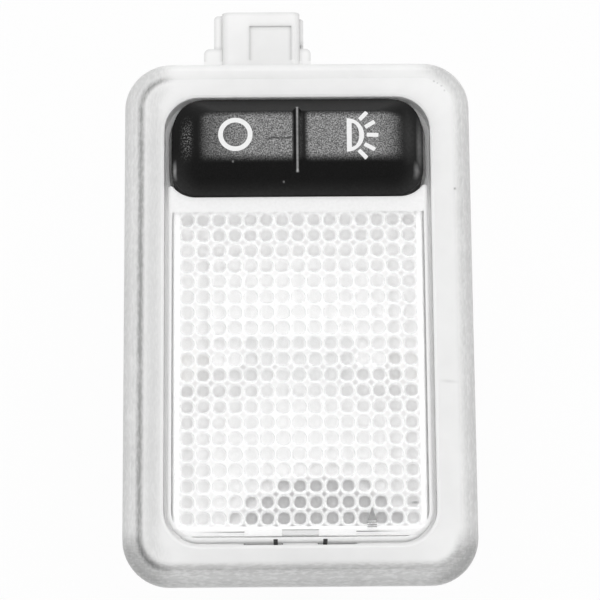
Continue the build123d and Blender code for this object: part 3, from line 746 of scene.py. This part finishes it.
def add_cell(bm, centre, plate_z, outlines):
    """A pillow cell under the lens's plate: satin cap, frosted flank and satin corners."""
    rounds, borders, diamonds = outlines

    def ring(points, depth):
        return [bm.verts.new((*(centre + point), plate_z - depth * MM)) for point in points]

    caps, flanks = (
        [ring([spoke * radius * MM for spoke in rounds], depth) for radius, depth in rings]
        for rings in (CAP_RINGS, FLANK_RINGS))
    border = ring(borders, 0.0)
    foot = []
    for corner, to_diamond, to_border in zip(border, diamonds, borders):
        if to_diamond.length < to_border.length - NEAR:
            corner = bm.verts.new((*(centre + to_diamond), plate_z))
        foot.append(corner)
    tip = bm.verts.new((*centre, plate_z - CELL_DEPTH))
    rings = [[tip] * CELL_SEGMENTS, *caps, *flanks, foot, border]
    kinds = [SATIN] * len(caps) + [FROSTED] * (len(flanks) + 1) + [SATIN]
    for kind, near, far in zip(kinds, rings, rings[1:]):
        for i in range(CELL_SEGMENTS):
            j = (i + 1) % CELL_SEGMENTS
            corners = list(dict.fromkeys((near[i], near[j], far[j], far[i])))
            if len(corners) > 2:
                face = bm.faces.new(corners)
                face.smooth = True
                face.material_index = kind


def find_cells(bm):
    """Heights of the facetted cells' crowns and of the plate, and the field's corner and counts."""
    # Most corners lie at three heights: on the crowns, round their caps and on the plate
    heights = Counter(round(v.co.z / NEAR) for v in bm.verts)
    crown_z, *_, plate_z = sorted(height * NEAR for height, _ in heights.most_common(3))
    crowns = [v.co for v in bm.verts if abs(v.co.z - crown_z) < NEAR]
    low = Vector((min(p.x for p in crowns), min(p.y for p in crowns)))
    high = Vector((max(p.x for p in crowns), max(p.y for p in crowns)))
    columns, rows = (round(span / CELL_PITCH + 1) for span in high - low)
    corner = (low + high) / 2 - Vector((columns, rows)) * CELL_PITCH / 2
    return crown_z, plate_z, corner, columns, rows


def add_lens(looks):
    """The lens solid with its facetted cells replaced by round ones."""
    bm = bmesh.new()
    bm.from_mesh(nodes["lens"].data)
    bmesh.ops.remove_doubles(bm, verts=bm.verts, dist=NEAR)
    crown_z, plate_z, corner, columns, rows = find_cells(bm)
    facets = [f for f in bm.faces if all(crown_z - NEAR <= v.co.z <= plate_z + NEAR for v in f.verts)]
    bmesh.ops.delete(bm, geom=facets, context="FACES")
    field_end = corner.y + rows * CELL_PITCH - FIELD_OVERLAP
    bmesh.ops.bisect_plane(
        bm, geom=[*bm.verts, *bm.edges, *bm.faces], dist=NEAR,
        plane_co=(0.0, field_end, 0.0), plane_no=(0.0, 1.0, 0.0))
    for face in bm.faces:
        plain = face.normal.z > FLAT_NORMAL and face.calc_center_median().y < field_end
        face.material_index = CLEAR if plain else RIM
    outlines = cell_outlines()
    for column in range(columns):
        for row in range(rows):
            centre = corner + Vector((column + 0.5, row + 0.5)) * CELL_PITCH
            add_cell(bm, centre, plate_z, outlines)
    bmesh.ops.remove_doubles(bm, verts=bm.verts, dist=NEAR)
    rim = [edge for edge in bm.edges if edge.is_boundary]
    made = bmesh.ops.triangle_fill(bm, use_beauty=True, edges=rim)
    for face in made["geom"]:
        if isinstance(face, bmesh.types.BMFace):
            face.material_index = RIM
    lens = add_piece("lens_clear", bm, [looks[name] for name in LENS_LOOKS], "lamp")
    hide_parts("lens")


def add_camera():
    """The photograph's camera."""
    level = math.cos(CAMERA_ELEVATION)
    back = Vector((
        math.sin(CAMERA_AZIMUTH) * level, -math.cos(CAMERA_AZIMUTH) * level, math.sin(CAMERA_ELEVATION)))
    data = bpy.data.cameras.new("camera")
    data.lens = CAMERA_LENS
    data.sensor_width = CAMERA_SENSOR
    data.clip_start = CAMERA_CLIP
    camera = bpy.data.objects.new("camera", data)
    turn = (-back).to_track_quat("-Z", "Y").to_matrix() @ Matrix.Rotation(CAMERA_ROLL, 3, "Z")
    camera.matrix_world = Matrix.Translation(CAMERA_TARGET + back * CAMERA_DISTANCE) @ turn.to_4x4()
    bpy.context.scene.collection.objects.link(camera)
    bpy.context.scene.camera = camera


def seen_directly(tree):
    """1 for rays from the camera, from gloss and through glass."""
    rays = tree.nodes.new("ShaderNodeLightPath").outputs
    return largest(tree, rays["Is Camera Ray"], rays["Is Glossy Ray"], rays["Is Transmission Ray"])


def add_world():
    """Soft light from all sides, which is plain white where it is seen."""
    world = bpy.data.worlds.new("studio")
    world.use_nodes = True
    tree = world.node_tree
    light = tree.nodes["Background"]
    white = tree.nodes.new("ShaderNodeBackground")
    for node, strength in ((light, WORLD_LEVEL), (white, 1.0)):
        set_sockets(node, {"Color": (*grey(1.0), 1.0), "Strength": strength})
    surface = mix_shaders(tree, seen_directly(tree), light.outputs[0], white.outputs[0])
    tree.links.new(surface, tree.nodes["World Output"].inputs["Surface"])
    bpy.context.scene.world = world


def floor_look():
    """Pale, nearly white where it is seen, so that a shadow stays on it, and clear from below."""
    material, tree, shader = new_material("floor", {
        "Base Color": (*grey(FLOOR_GREY), 1.0), "Roughness": 0.9})
    glow = tree.nodes.new("ShaderNodeEmission")
    facing = tree.nodes.new("ShaderNodeNewGeometry")
    clear = tree.nodes.new("ShaderNodeBsdfTransparent")
    share = times(tree, seen_directly(tree), FLOOR_WHITE)
    top = mix_shaders(tree, share, shader.outputs[0], glow.outputs[0])
    surface = mix_shaders(tree, facing.outputs["Backfacing"], top, clear.outputs[0])
    tree.links.new(surface, tree.nodes["Material Output"].inputs["Surface"])
    return material


def add_floor():
    """A floor that the open reflector clears."""
    joints = {joint["name"]: joint for joint in frame["joints"]}
    hinge = Vector(joints["reflector_hinge"]["pos_m"])
    reach = hinge.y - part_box("reflector")[0].y
    bm = bmesh.new()
    bmesh.ops.create_grid(bm, x_segments=1, y_segments=1, size=FLOOR_SIZE / 2)
    mesh = bpy.data.meshes.new("floor")
    bm.to_mesh(mesh)
    bm.free()
    mesh.materials.append(floor_look())
    floor = bpy.data.objects.new("floor", mesh)
    floor.location.z = hinge.z - reach - FLOOR_GAP
    bpy.context.scene.collection.objects.link(floor)


def add_key():
    """One large soft lamp above the part."""
    data = bpy.data.lights.new("key", "AREA")
    data.size = KEY_SIZE
    data.energy = KEY_WATTS
    lamp = bpy.data.objects.new("key", data)
    lamp.location = KEY_AT
    lamp.rotation_mode = "QUATERNION"
    lamp.rotation_quaternion = (-KEY_AT).to_track_quat("-Z", "Y")
    bpy.context.scene.collection.objects.link(lamp)


slot_looks = {
    "milky_plastic": milky_plastic(),
    "clear_plastic": clear_plastic("clear_plastic", level=0.99, roughness=0.06, clarity=1.0),
    "satin_plastic": clear_plastic("satin_plastic", level=0.9, roughness=0.4, clarity=0.78),
    "frosted_plastic": frosted_plastic(),
    "rim_plastic": rim_plastic(),
    "black_plastic": black_plastic(),
    "tinned_brass": metal("tinned_brass", (0.8, 0.79, 0.77), (0.88, 0.87, 0.85), roughness=0.7),
    "bronze": metal("bronze", (0.55, 0.34, 0.18), (0.66, 0.44, 0.25), roughness=0.3),
    "contact_metal": metal("contact_metal", grey(0.75), grey(0.85), roughness=0.25),
    "spring_steel": metal("spring_steel", grey(0.08), grey(0.15), roughness=0.45),
    "bulb_glass": clear_glass(),
    "cap_metal": metal("cap_metal", grey(0.77), grey(0.84), roughness=0.7),
    "filament_wire": metal("filament_wire", grey(0.3), grey(0.42), roughness=0.4),
    "reflector_metal": paint("white_enamel", 0.82, 0.86, roughness=0.35, scale=300.0),
}
dress_nodes(slot_looks)
add_symbols()
add_lens(slot_looks)
add_arrow()
add_camera()
add_world()
add_floor()
add_key()
bpy.context.scene.view_settings.view_transform = "Standard"
